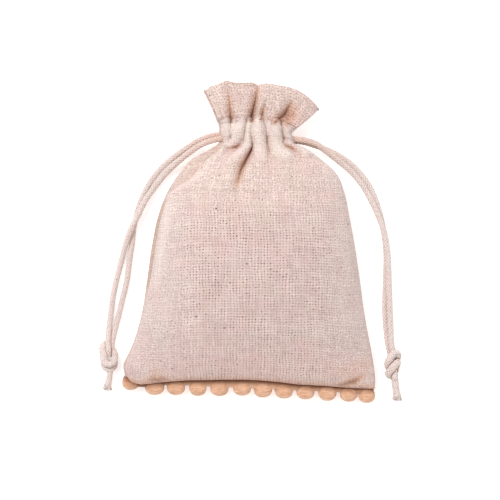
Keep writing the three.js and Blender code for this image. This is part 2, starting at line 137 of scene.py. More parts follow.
# Creases in the front, from the mouth down: points of x, y, depth and half width. A sharp crease falls away
# steeply, as between two bunched folds, and a soft one is a shallow valley. The ruffle's are sharp and end at the
# casing, and the hem's are soft.
RUFFLE_CREASES = [
    [(-8, 56, 1, 3), (-7.2, 49.2, 2.4, 3.6), (-6.7, 43.4, 3.4, 3.2)],
    [(3, 56.8, 1.6, 3.2), (2.1, 51.4, 3, 3.8), (1, 46.6, 4, 3.6), (0.4, 43.4, 4.4, 2.8)],
    [(6.3, 51.6, 0, 2.8), (4.8, 47.4, 2.4, 3), (4, 44, 3.6, 2.4)],
    [(16.6, 52.2, 0, 3.6), (14.1, 48.9, 2.6, 4.2), (12.2, 46, 3.6, 3.8), (9, 42.9, 4, 3)],
    [(-11.8, 50, 0, 2.8), (-9.6, 44.2, 1.4, 2.4)],
]
SHARP_CREASES = [
    # the folds that run out of the casing into the body
    [(1, 35.4, 2, 1.3), (0.6, 33.6, 3.2, 1.7), (-0.2, 31.6, 3.8, 2.4), (-1.6, 28.8, 3.8, 3.2),
     (-3.2, 25.6, 3.4, 3.9), (-4.3, 21.4, 2.4, 4), (-4.8, 17.6, 1, 3.6), (-5, 14, 0, 3.4)],
    [(5.9, 35.4, 1.8, 1.2), (6.4, 32.6, 1.8, 1.7), (7.2, 29.6, 0, 2.4)],
    [(11.8, 35.8, 2.2, 2.2), (12.9, 34.5, 3.2, 3.4), (15.2, 34, 2.9, 3.7), (18.8, 33, 1, 2.8)],
    [(-9.8, 34.4, 1, 2.8), (-6.6, 34.2, 2.4, 3.9), (-3.6, 34.7, 2.9, 3.2)],
    # between the casing's gathers
    [(-6.5, 41.4, 0.9, 0.7), (-6.7, 39, 2, 0.8), (-6.7, 36.8, 1.6, 0.9)],
    [(-1.5, 42.4, 1.2, 0.6), (-1.9, 39.4, 2.3, 0.7), (-2.2, 36.6, 2.4, 0.9)],
    [(0.9, 42.6, 1.2, 0.6), (0.3, 39.4, 2.3, 0.7), (0.9, 36.4, 2.6, 0.9)],
    [(5.9, 41.2, 1, 0.6), (5.9, 39, 2.5, 0.8), (6, 35.6, 2.9, 1), (6.1, 33.2, 2.6, 1.3)],
    [(11.4, 41.4, 1.2, 0.6), (11.7, 38.6, 2.6, 0.8), (11.8, 35.4, 2.7, 1)],
]
SOFT_CREASES = [
    [(18.4, 49.4, 0.6, 3.6), (15.2, 45.2, 3.6, 4.4), (12.9, 42.1, 4.4, 3.4)],
    [(22.4, 48.2, 0, 3.4), (18, 43.4, 1.6, 3), (15.8, 40.8, 2.4, 2.4)],
    [(9.4, 54, 0, 3), (8.2, 48.5, 0.8, 3), (7, 44, 1.4, 2)],
    [(-8, 33, 1.2, 2.6), (-11.5, 28, 0.8, 4), (-15.5, 20, 0, 5)],
    [(12.5, 32.5, 1, 3), (16, 27, 0.8, 4), (19.5, 19, 0, 5)],
    [(6.6, 33, 0.9, 2), (7.2, 26, 0.6, 3.4), (8.2, 16, 0, 4)],
    [(-41.5, -50.6, 1, 2), (-43.4, -44, 0, 3)],
    [(-20, -30, 0, 6), (-8, -36, 0.45, 5), (6, -37, 0, 6)],
    [(8, -14, 0, 5), (20, -19, 0.45, 5), (30, -29, 0, 6)],
]
HEM_CREASES = [
    [(-39.5, -50.2, 0.8, 2.6), (-35, -49.6, 2.6, 3.4), (-31.2, -49.3, 2.6, 3.4), (-26.6, -49.4, 0.8, 2.6)],
    [(-34.4, -49.6, 2.4, 4.2), (-33.8, -46.8, 1.4, 4.6), (-31, -42.6, 0, 5.4)],
    [(27, -52.2, 0.8, 2.2), (33.6, -51.2, 2.7, 2.7), (37.7, -49.9, 3.1, 3.2), (40.6, -48, 1.6, 3.2),
     (43.6, -45.2, 0, 3)],
    [(22, -46, 0, 8), (33, -47, 1, 9), (41, -44, 1, 8), (43, -35, 0, 8)],
]
# The casing's gathered upper edge, scalloped over the tubes.
CASING_EDGE = [
    (-10.7, 42.2), (-9.2, 43.3), (-7, 43.4), (-5.6, 42.4), (-3.7, 43.2), (-2.2, 43.8), (-0.9, 43.1), (0.2, 44.1),
    (0.95, 43.2), (3.1, 44.5), (4.9, 43.7), (6.2, 42.3), (7.9, 41.9), (9.4, 43.1), (11.2, 41.9), (12.5, 42.8),
    (14, 41), (15.6, 39),
]
# The hems from left to right: the mouth's front and rear edges and the front's bottom edge.
FRONT_MOUTH = [
    (-16.4, 54.4), (-14, 55.8), (-10.9, 56.6), (-4, 56.2), (2.4, 55.9), (3.2, 56.3), (10.6, 56.1), (15.4, 55.1),
    (19.6, 53), (22.8, 50.2), (25, 48.1),
]
REAR_MOUTH = [
    (-16.4, 54.2), (-12.6, 56.3), (-10.9, 57), (-8.9, 58), (-6, 57.5), (-3.2, 57.3), (1.4, 57.2), (2.6, 56.6),
    (3.6, 55.6), (10.6, 55.5), (15.4, 54.5), (19.6, 52.5), (22.8, 49.8), (25, 47.9),
]
HEM = [
    (-46, -47.6), (-44.9, -48.9), (-42.5, -50.4), (-39.9, -51.1), (-36, -50.9), (-31.9, -50.4), (-27, -50),
    (-22.6, -49.7), (-17.1, -49.6), (1.7, -49.6), (10.3, -50.3), (17.1, -51.1), (25.7, -51.6), (36, -52.4),
    (45, -52.8),
]
HEM_REACH = 14.0  # how far up the body the hem's wander is felt
MOUTH_REACH = 7.0
GATHER_DROP = 0.48  # how far the cloth dips along the casing's upper edge
GATHER_REACH = 1.5

# Each double drawcord from inside the neck to its knot: x, y, distance between its strands across the run, height of
# the strand that lies over, height of the strand that lies under. CAD_SHIFT brings x and y to the CAD frame.
CAD_SHIFT = (0.05, 0.65)
LEFT_RUN = [
    (-3.6, 36.9, 0, 8.5, 6.1), (-7.5, 37.2, -0.8, 8.4, 6.2), (-11.6, 37.2, -1.5, 8.3, 6.5),
    (-16.8, 35.8, -1.7, 7.8, 6.1), (-22.3, 32.6, -1.9, 6.1, 4.5), (-27, 29.1, -2.3, 3.9, 2.9),
    (-31.5, 25, -2.5, 1.9, 1.6), (-35.6, 19.8, -2.3, 1.9, 1.1), (-38.4, 15, -1.6, 3, 1.1),
    (-40.9, 8.8, -0.6, 3.6, 1.1), (-42.6, 4, 0.8, 3.5, 1.1), (-43.7, -0.8, 2.1, 2.4, 1.1),
    (-44.7, -5.4, 2.6, 1.3, 1.1), (-46.4, -14.2, 3.7, 1.15, 1.1), (-47.7, -20, 3.6, 1.1, 1.1),
    (-48.9, -26.5, 2.9, 1.1, 1.1), (-50, -32.5, 2.1, 1.6, 1.3), (-50.6, -36.9, 1.4, 2.8, 1.8),
    (-50.6, -39.6, 1.2, 3.2, 1.6), (-50.6, -42, 1.2, 2.4, 1.4),
]
RIGHT_RUN = [
    (10.4, 35.7, 0, 8.5, 6.1), (14.3, 36.2, -0.3, 8.5, 6.2), (18.6, 35.9, -0.5, 8.4, 6.2),
    (23.2, 34.7, -0.6, 7.7, 5.6), (27.6, 32.5, 0.6, 6.1, 3.9), (32.4, 29.5, 1.7, 4.4, 2.6),
    (37.3, 25.6, 2, 2.9, 1.5), (41.6, 20.3, 2, 2.5, 1.1), (44.6, 14.6, 1.6, 3, 1.1),
    (46.8, 8.8, 0.8, 3.4, 1.1), (48.4, 3.1, 0, 3.6, 1.1), (49.4, -4, -0.4, 3.6, 1.1),
    (49.6, -11, -0.8, 3.4, 1.1), (49.6, -18, -1.3, 3.2, 1.1), (49.7, -25.7, -1.7, 2.9, 1.1),
    (50, -31.5, -1.6, 3, 1.1), (50.5, -37.3, -1.2, 3.2, 1.4), (51, -40, -1, 2.8, 1.2),
    (51.4, -42.4, -0.8, 2, 1.2),
]

# Each overhand knot's visible turns: x, y, height and thickness along each turn.
LEFT_KNOT = [
    [(-51.9, -36.4, 1.7, 2.4), (-52.8, -37.6, 2.4, 2.9), (-52.7, -40.4, 3, 3.1), (-52.4, -42.9, 3.6, 2.8),
     (-51.1, -44, 4.2, 2.5), (-49.5, -43.6, 4.1, 2.4), (-48.85, -42.2, 3.3, 2.3), (-48.8, -40.6, 2.6, 2.2),
     (-49.3, -39.2, 1.9, 2.1), (-50.3, -38.6, 1.3, 2)],
    [(-53.1, -43.2, 1.9, 2.4), (-52.4, -45.1, 2.4, 2.2), (-50.7, -46, 2.8, 1.9), (-49, -45, 2.3, 2.1),
     (-48.8, -43.2, 1.7, 2.2)],
    [(-51.4, -42.6, 1.6, 2), (-51, -44.6, 1.5, 2), (-50.6, -46.8, 1.6, 1.9)],
]
RIGHT_KNOT = [
    [(51.4, -42.6, 1.5, 2.4), (53.2, -41.8, 1.7, 2.6), (53.3, -40.3, 2.9, 2.6), (52.2, -40.1, 3.9, 2.7),
     (50.7, -41.8, 4.2, 2.75), (49.8, -43.7, 3.4, 2.6), (50.1, -45.2, 2, 2.4), (51.4, -45.2, 1.4, 2.3),
     (53.1, -44.3, 1.6, 2.4), (53.3, -43.2, 2.9, 2.5), (52.4, -44, 3.9, 2.7), (51.1, -45.7, 4, 2.75),
     (50.1, -47.4, 3, 2.6), (50.8, -48.2, 1.8, 2.4), (52.1, -47.5, 1.4, 2.3)],
    [(52.9, -43.6, 1.4, 2.2), (53, -45.4, 1.8, 2.2), (52.7, -47, 1.6, 2.2)],
    [(51.4, -44, 1.4, 2.2), (52.1, -46.2, 2.3, 2.4), (52.2, -48.2, 2.9, 2.3), (52.3, -49.6, 3.1, 2.2)],
]
# Each cord's two cut ends from the knot to the tip: x, y, width.
LEFT_TAIL = [(-50.5, -45.9, 2), (-50.7, -48, 2.1), (-51.1, -50.4, 2.4), (-51.5, -52, 2.8)]
RIGHT_TAIL = [(52.3, -47, 2.3), (52.5, -50.6, 2.5), (52.9, -53.8, 2.6), (53.2, -55.8, 3)]

# ---- shapes ----


def spline(knots, values, at):
    """A smooth curve through the values at the knots."""
    knots, values = np.asarray(knots, float), np.asarray(values, float)
    slopes = np.gradient(values, knots, axis=0)
    at = np.clip(at, knots[0], knots[-1])
    i = np.clip(np.searchsorted(knots, at, side="right") - 1, 0, len(knots) - 2)
    span = knots[i + 1] - knots[i]
    t = (at - knots[i]) / span
    if values.ndim > 1:
        t, span = t[..., None], span[..., None]
    start = (1 + 2 * t) * (1 - t) ** 2 * values[i] + t * (1 - t) ** 2 * span * slopes[i]
    return start + t**2 * (3 - 2 * t) * values[i + 1] + t**2 * (t - 1) * span * slopes[i + 1]


def lengths_along(path):
    """How far along a path each of its points lies."""
    return np.concatenate([[0], np.cumsum(np.linalg.norm(np.diff(path, axis=0), axis=1))])


def unit(vectors):
    return vectors / np.linalg.norm(vectors, axis=1)[:, None]


def smooth_path(points, step):
    """The points of a smooth curve through the given ones, evenly spaced."""
    points = np.asarray(points, float)
    knots = lengths_along(points)
    dense = spline(knots, points, np.linspace(0, knots[-1], 40 * len(points)))
    along = lengths_along(dense)
    count = max(4, int(round(along[-1] / step)) + 1)
    at = np.linspace(0, along[-1], count)
    return np.stack([np.interp(at, along, dense[:, k]) for k in range(points.shape[1])], axis=1)


def smoothstep(x, low, high):
    t = np.clip((x - low) / (high - low), 0, 1)
    return t * t * (3 - 2 * t)


def waves(x, y, count, longest, shortest, seed):
    """A gentle random relief of about unit height, the same on each run."""
    rng = np.random.default_rng(SEED + seed)
    total = 0
    for _ in range(count):
        length = shortest * (longest / shortest) ** rng.random()
        turn, phase = rng.random(2) * 2 * math.pi
        total = total + np.sin((x * math.cos(turn) + y * math.sin(turn)) * 2 * math.pi / length + phase)
    return total / math.sqrt(count)


def to_curve(x, y, points):
    """Each place's distance to a line of points, and what the points carry there."""
    points = np.asarray(points, float)
    nearest = np.full(np.shape(x), np.inf)
    carried = [np.zeros(np.shape(x)) for _ in range(points.shape[1] - 2)]
    for a, b in zip(points[:-1], points[1:]):
        along = b[:2] - a[:2]
        t = np.clip(((x - a[0]) * along[0] + (y - a[1]) * along[1]) / (along @ along), 0, 1)
        distance = np.hypot(x - a[0] - t * along[0], y - a[1] - t * along[1])
        closer = distance < nearest
        nearest = np.where(closer, distance, nearest)
        for k, value in enumerate(carried):
            carried[k] = np.where(closer, a[k + 2] + t * (b[k + 2] - a[k + 2]), value)
    return nearest, carried


def crease_depth(x, y, creases, sharp):
    """How far a set of creases draws the cloth in at each place."""
    total = np.zeros(np.shape(x))
    for points in creases:
        distance, (depth, width) = to_curve(x, y, points)
        t = np.clip(distance / width, 0, 1)
        rise = np.sin(t * math.pi / 2) ** 0.75 if sharp else smoothstep(t, -0.15, 1)
        total = np.maximum(total, depth * (1 - rise))
    return total


def rows_at(v):
    """The pouch's rows at the heights v, as the columns of ROWS."""
    table = np.asarray(ROWS)
    return spline(table[:, 0], table, v)


def place_in_row(row, across):
    """The x of a place across a row, and how far along Y the row's end on that side lies from its middle."""
    x = (row[..., 1] + row[..., 3]) / 2 + across * (row[..., 3] - row[..., 1]) / 2
    return x, np.where(across < 0, row[..., 2], row[..., 4]) - row[..., 0]


def plan(across, v, mouth=FRONT_MOUTH):
    """Where the place at across (-1 at the left edge, 1 at the right) in row v lies, seen from above."""
    row = rows_at(v)
    x, drop = place_in_row(row, across)
    y = row[..., 0] + drop * np.abs(across) ** (2 + smoothstep(v, CASING_TOP, MOUTH))
    straight = BOTTOM + place_in_row(np.asarray(ROWS[0]), across)[1] * across**2
    y = y + (spline(*zip(*HEM), x) - straight) * (1 - smoothstep(v, BOTTOM, BOTTOM + HEM_REACH))
    top_x, top_drop = place_in_row(rows_at(MOUTH), across)
    curved = MOUTH + top_drop * np.abs(across) ** 3
    return x, y + (spline(*zip(*mouth), top_x) - curved) * smoothstep(v, MOUTH - MOUTH_REACH, MOUTH)


def tubes_height(x, y):
    """The height of the casing's gathers, or far below the cloth where there are none."""
    total = np.full(np.shape(x), FAR_BELOW)
    for points in TUBES:
        distance, (top, half) = to_curve(x, y, points)
        t = distance / half
        roof = top - TUBE_STEEPNESS * half * (0.6 * t**2 + 0.4 * t**6)
        total = np.maximum(total, np.where(t < TUBE_SKIRT, roof, FAR_BELOW))
    return total


def blend_up(a, b, reach):
    """The higher of two surfaces, rounded where they meet."""
    t = np.clip(0.5 + (b - a) / (2 * reach), 0, 1)
    return a + (b - a) * t + reach * t * (1 - t)


def front_shape(across, v, x, y):
    """The front's height, and how deep in a fold each place lies as painted light: painted shade up to 1 in creases,
    puckers and the gaps between gathers, and a painted highlight down to -1 on a gather's crest.
    """
    r = rows_at(v)
    crown, seam, square = r[..., 5], r[..., 6], r[..., 8]
    dome = np.clip(1 - np.abs(across) ** square, 0, 1) ** 0.5
    z = seam + (crown - seam) * dome
    inward = np.clip((1 - np.abs(across)) * 8, 0, 1)
    ruffled = crease_depth(x, y, RUFFLE_CREASES, True) * smoothstep(v, CASING_TOP - 1.5, CASING_TOP)
    sharp = np.maximum(crease_depth(x, y, SHARP_CREASES, True), ruffled)
    soft = crease_depth(x, y, SOFT_CREASES, False)
    edge, _ = to_curve(x, y, CASING_EDGE)
    gather = GATHER_DROP * (1 - np.sqrt(1 - (1 - np.clip(edge / GATHER_REACH, 0, 1)) ** 2))
    gather = gather * smoothstep(edge, -0.2, 0.2) * smoothstep(v, CASING_TOP - 3.5, CASING_TOP - 1.5)
    relief = 0.22 * waves(x, y, 12, 30, 9, 1) + 0.05 * waves(x, y, 14, 6, 3, 2)
    pucker = crease_depth(x, y, HEM_CREASES, False)
    held = 0.15 + 0.45 * smoothstep(v, BOTTOM, BOTTOM + 3.9)  # the trim's tape holds the edge up
    plain = z + inward * (relief - sharp - soft - held * pucker)
    tubes = tubes_height(x, y)
    roof = np.where(tubes > plain - 3, blend_up(plain, tubes, 0.35 + 1.3 * (1 - smoothstep(v, 29, 35))), plain)
    height = z + (roof - z) * np.where(roof > z, np.clip(inward * 1.5, 0, 1), 1)
    height = height - inward * gather
    bunched = smoothstep(v, BODY_TOP - 4, BODY_TOP + 2) * (1 - smoothstep(v, CASING_TOP, CASING_TOP + 1))
    # painted shade in the creases and the hem's puckers
    low = smoothstep(sharp + 0.5 * soft + 1.15 * pucker, 0.3, 3.4)
    # painted shade in the gaps between the casing's gathers
    between = 0.45 * bunched * inward * smoothstep(z + 0.5 - roof, 0, 2.4)
    fading = 1 - smoothstep(v, CASING_TOP - 1.5, CASING_TOP + 3)
    # painted highlight on the gathers' crests, given as a fold value below 0
    crest = smoothstep(v, BODY_TOP - 10, BODY_TOP) * smoothstep(tubes - z, -1.4, 1.4) * fading
    return height, np.maximum(low, between) - crest * (1 - low)


def front_height(across, v, x, y):
    return front_shape(across, v, x, y)[0]


def back_height(across, v, x, y):
    """The back's height: pressed flat under the body, drawn in at the casing's two edges and free in the ruffle."""
    r = rows_at(v)
    seam, low = r[..., 6], r[..., 7]
    free = smoothstep(v, BODY_TOP - 8, CASING_TOP)
    dome = np.clip(1 - np.abs(across) ** (3.6 - 1.6 * free), 0, 1) ** 0.5
    inward = np.clip((1 - np.abs(across)) * 6, 0, 1)
    gather = 1.12 * np.exp(-(((v - CASING_TOP) / 1.2) ** 2)) + 0.96 * np.exp(-(((v - BODY_TOP) / 1.3) ** 2))
    relief = 0.15 * (1 + waves(x, y, 12, 30, 9, 3)) * (1 - dome * (1 - free)) * (0.2 + free)
    return seam - (seam - low) * dome + inward * (back_pleats(x, y) + gather + relief)


def back_pleats(x, y):
    """The folds of the back's gathers, which fan out from the casing into the ruffle and the body."""
    rng = np.random.default_rng(SEED + 20)
    total = np.zeros(np.shape(x))
    for k in range(8):
        neck_x = -8.6 + 3.2 * k + 0.8 * rng.random()
        lean = (neck_x - NECK_X) / 12
        reach = 5 + 9 * rng.random()
        points = [
            (neck_x + 7.5 * lean + 0.6, MOUTH - 2 - 3 * max(0, lean), 0.2, 2.4),
            (neck_x + 3.5 * lean, CASING_TOP + 4, 1.4, 2.0),
            (neck_x, CASING_TOP - 0.5, 2.2, 1.5),
            (neck_x, BODY_TOP + 1, 2.2, 1.5),
            (neck_x + 4 * lean, BODY_TOP - 3, 1.4, 2.0),
            (neck_x + 14 * lean, BODY_TOP - 3 - reach, 0.0, 2.6),
        ]
        total = np.maximum(total, crease_depth(x, y, [points], True))
    return total


def room_at(x, y, gap):
    """The lowest and highest a piece's middle may lie inside the pouch at x and y, with a gap to either cloth."""
    x, y = np.broadcast_arrays(np.asarray(x, float), np.asarray(y, float))
    v, across = y, np.zeros(x.shape)
    for _ in range(3):
        r = rows_at(v)
        across = np.clip((2 * x - r[..., 1] - r[..., 3]) / (r[..., 3] - r[..., 1]), -1, 1)
        v = y - place_in_row(r, across)[1] * across**2
    return back_height(across, v, x, y) + gap, front_height(across, v, x, y) - gap


def row_places():
    """The rows' heights, close together where the cloth is gathered."""
    neck_from, neck_to = 26, 46
    body = np.arange(BOTTOM, neck_from, BODY_STEP)
    neck = np.arange(neck_from, neck_to, NECK_STEP)
    return np.concatenate([body, neck, np.linspace(neck_to, MOUTH, int(30 * FINE))])


def arc_lengths(points, axis):
    steps = np.linalg.norm(np.diff(points, axis=axis), axis=2)
    start = np.zeros_like(np.take(steps, [0], axis=axis))
    return np.concatenate([start, np.cumsum(steps, axis=axis)], axis=axis)


def flat_places(points):
    """The cloth's flat coordinates in metres at each point of a grid: lengths measured along the cloth, across from
    the neck's middle and up along the line there."""
    u = arc_lengths(points, 1)
    middle = np.abs(points[..., 0] - NECK_X).argmin(axis=1)
    rows = np.arange(len(points))
    offset = NECK_X - points[rows, middle, 0]
    u = u - (u[rows, middle] + offset)[:, None]
    line = points[rows, middle].copy()
    line[:, 0] = 0
    v = arc_lengths(line[:, None], 0)
    return np.stack(np.broadcast_arrays(u, v), axis=2) * MM


def rolled_edge(points):
    """Adds to a grid the rows of its bottom edge, which rolls under and lies on the trim's tape."""
    first = points[0]
    above_tape = first[:, 2] - CLOTH - box_mm("fringe_braid")[1][2]
    drop = np.clip(above_tape - 0.45, 0.55, 1.6)
    rows = []
    for inward, share in ((4.2, 1.0), (2.0, 1.0), (0.9, 0.96), (0.2, 0.7), (-0.05, 0.35)):
        row = first.copy()
        row[:, 1] += inward
        row[:, 2] -= drop * share
        middle = (row[0] + row[-1]) / 2
        row[:, 0] += (middle[0] - row[:, 0]) * 0.012 * inward
        rows.append(row)
    return np.concatenate([np.array(rows), points], axis=0)


def turned_hem(points, across, inward):
    """Adds to a grid the rows of its top edge's hem, folded over to the inside. inward is -1 or 1, along Z."""
    top = points[-1]
    down = unit(points[-4] - top)
    room = np.clip((1 - np.abs(across)) * 12, 0.05, 1)[:, None]
    lift = np.array([0, 0, inward]) * room
    rows = [top - 0.3 * room * down + 0.35 * lift, top - 0.2 * room * down + 0.95 * lift]
    for reach in np.linspace(0.8, HEM_TURN, 7):
        row = points[-1 - int(round(reach / HEM_TURN * HEM_ROWS * FINE))] + 1.25 * lift
        middle = (row[0] + row[-1]) / 2
        rows.append(row + (middle - row) * [0.04, 0.04, 0])
    return np.concatenate([points, np.array(rows)], axis=0)


# ---- making pieces ----


def add_object(name, data, place):
    made = bpy.data.objects.new(name, data)
    made.location = place
    bpy.context.scene.collection.objects.link(made)
    return made


def box_mm(node):
    """A CAD node's lowest and highest corner in millimetres."""
    return [np.array(corner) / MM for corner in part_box(node)]


def new_piece(name, points, faces, material, uv=None):
    """A smooth-shaded mesh object from points in millimetres. uv holds a flat place in metres for each point."""
    mesh = bpy.data.meshes.new(name)
    places = np.asarray(points, float).reshape(-1, 3) * MM
    mesh.from_pydata(places.tolist(), [], [list(map(int, f)) for f in faces])
    mesh.shade_smooth()
    if uv is not None:
        layer = mesh.uv_layers.new(name="flat")
        corner = np.empty(len(mesh.loops), np.int32)
        mesh.loops.foreach_get("vertex_index", corner)
        layer.data.foreach_set("uv", np.asarray(uv, np.float32).reshape(-1, 2)[corner].ravel())
    mesh.materials.append(material)
    return add_object(name, mesh, (0, 0, 0))


def grid_faces(rows, columns, flip=False, wrap=False):
    r, c = np.meshgrid(np.arange(rows - 1), np.arange(columns if wrap else columns - 1), indexing="ij")
    right = (c + 1) % columns
    a, b = r * columns + c, r * columns + right
    quads = np.stack([a, b, b + columns, a + columns], axis=2).reshape(-1, 4)
    return quads[:, ::-1] if flip else quads


def tube_faces(rows, columns, flip=False):
    """A closed tube's faces: a grid that wraps round, and a cap at each end."""
    first, last = list(range(columns)), [(rows - 1) * columns + k for k in range(columns)]
    caps = [first, last[::-1]] if flip else [first[::-1], last]
    return grid_faces(rows, columns, flip=flip, wrap=True).tolist() + caps


def assign(piece, body, slot, *nodes):
    """Says which body a piece moves with and hides the CAD nodes it stands for. slot is not used."""
    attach(piece, body)
    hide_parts(*nodes)


def mark_painted_light(piece, depth):
    """Stores how deep in a fold or crevice each point lies, or how far into the hem's shadow, as the painted shade that
    the material puts there; a value below 0 is a painted highlight.
    """
    piece.data.attributes.new("fold", "FLOAT", "POINT").data.foreach_set("value", depth.ravel())


def thicken(piece, thickness, offset=-1):
    solid = piece.modifiers.new("thickness", "SOLIDIFY")
    solid.thickness = thickness * MM
    solid.offset = offset
    return piece


def frames_along(path):
    """Two unit vectors across a path at each point, which turn as little as they can."""
    ahead = unit(np.gradient(path, axis=0))
    side = np.cross(ahead[0], [0.0, 0.0, 1.0])
    sides = []
    for direction in ahead:
        side = side - direction * (side @ direction)
        side /= np.linalg.norm(side)
        sides.append(side)
    return np.array(sides), np.cross(ahead, sides)


def braided_tube(name, path, diameter, material, around=28, relief=0.075, taper=None):
    """A cord's mesh along a path: its surface carries the bumps of its braid. taper scales it along its length."""
    side, up = frames_along(path)
    length = lengths_along(path)
    angle = np.linspace(0, 2 * math.pi, around, endpoint=False)
    bumps = np.cos(BRAID_BUMPS / 2 * angle)[None, :] * np.cos(2 * math.pi * length / BRAID_PITCH)[:, None]
    radius = diameter / 2 * (1 + relief * bumps)
    if taper is not None:
        radius = radius * np.interp(length / length[-1], *zip(*taper))[:, None]
    ring = side[:, None, :] * np.cos(angle)[None, :, None] + up[:, None, :] * np.sin(angle)[None, :, None]
    points = path[:, None, :] + ring * radius[..., None]
    flat = np.stack(np.broadcast_arrays(angle[None, :] * diameter / 2 * MM, length[:, None] * MM), axis=2)
    return new_piece(name, points, tube_faces(*points.shape[:2]), material, flat)


# ---- materials ----


class Value:
    """A number made by a material's nodes. Arithmetic with it adds nodes."""

    def __init__(self, nodes, socket):
        self.nodes, self.socket = nodes, socket

    def __add__(self, other):
        return self.nodes.math("ADD", self, other)

    def __sub__(self, other):
        return self.nodes.math("SUBTRACT", self, other)

    def __rsub__(self, other):
        return self.nodes.math("SUBTRACT", other, self)

    def __mul__(self, other):
        return self.nodes.math("MULTIPLY", self, other)

    def __truediv__(self, other):
        return self.nodes.math("DIVIDE", self, other)

    def __abs__(self):
        return self.nodes.math("ABSOLUTE", self)


class Nodes:
    """A short way to write a material's node tree."""

    def __init__(self, name, roughness, sheen):
        self.material = bpy.data.materials.new(name)
        self.material.use_nodes = True
        self.tree = self.material.node_tree
        self.shader = self.tree.nodes["Principled BSDF"]
        self.shader.inputs["Roughness"].default_value = roughness
        self.shader.inputs["Sheen Weight"].default_value = sheen
        self.shader.inputs["Sheen Roughness"].default_value = 0.6
        self.shader.inputs["Specular IOR Level"].default_value = 0.2

    def add(self, kind, inputs=None, **settings):
        """A new node with its settings, and with what goes into its sockets."""
        node = self.tree.nodes.new("ShaderNode" + kind)
        for key, value in settings.items():
            setattr(node, key, value)
        for key, source in (inputs or {}).items():
            self.link(source, node.inputs[key])
        return node

    def link(self, source, target):
        if isinstance(source, (int, float, tuple)):
            target.default_value = source
        else:
            self.tree.links.new(source.socket if isinstance(source, Value) else source, target)

    def out(self, kind, inputs=None, output=0, **settings):
        """What a new node gives."""
        return Value(self, self.add(kind, inputs, **settings).outputs[output])

    def math(self, operation, *values):
        return self.out("Math", dict(enumerate(values)), operation=operation)

    def flat(self):
        """The cloth's flat place, in metres."""
        split = self.add("SeparateXYZ", {0: self.out("UVMap", uv_map="flat")})
        return Value(self, split.outputs[0]), Value(self, split.outputs[1])

    # the fold value stored on each point: painted shade above 0 and a painted highlight below 0
    def fold(self):
        return self.out("Attribute", output="Fac", attribute_name="fold")

    def place(self, x, y, z=0.0):
        return self.out("CombineXYZ", {0: x, 1: y, 2: z})

    def noise(self, vector, scale, detail=2.0):
        return self.out("TexNoise", {"Vector": vector, "Scale": scale, "Detail": detail}, "Fac")

    def speckle(self, vector):
        """A random value from 0 to 1 for each place."""
        return self.out("TexWhiteNoise", {"Vector": vector}, "Value", noise_dimensions="3D")

    def ramp(self, factor, *stops):
        node = self.add("ValToRGB", {0: factor})
        ends = node.color_ramp.elements
        ends[0].position, ends[0].color = stops[0]
        ends[1].position, ends[1].color = stops[-1]
        for position, colour in stops[1:-1]:
            ends.new(position).color = colour
        return node.outputs[0]

    def ramp_value(self, factor, low, high):
        """0 at low and 1 at high, with a smooth rise between them."""
        inputs = {"Value": factor, "From Min": low, "From Max": high}
        return self.out("MapRange", inputs, interpolation_type="SMOOTHSTEP")

    def mix(self, factor, a, b, blend="MIX"):
        return self.out("Mix", {0: factor, 6: a, 7: b}, 2, data_type="RGBA", blend_type=blend)

    def finish(self, colour, height, distance, strength=1.0):
        bump = self.add("Bump", {"Distance": distance, "Strength": strength, "Height": height})
        self.link(colour, self.shader.inputs["Base Color"])
        self.link(bump.outputs[0], self.shader.inputs["Normal"])
        return self.material


WHITE = (1, 1, 1, 1)


def srgb(red, green, blue):
    """A linear colour from the usual 0 to 255 numbers."""
    return tuple((c / 255) ** 2.2 for c in (red, green, blue)) + (1.0,)


def weave_parts(n, warp, weft):
    """The height of a plain weave at a place counted in yarns, and where the gaps at its yarns' corners are."""
    s, t = (n.math("SINE", count * math.pi) for count in (warp, weft))
    over = s * t * 0.5 + 0.5
    height = n.math("MAXIMUM", abs(s) * (over * 0.6 + 0.4), abs(t) * ((1 - over) * 0.6 + 0.4))
    return height, (1 - abs(s)) * (1 - abs(t))


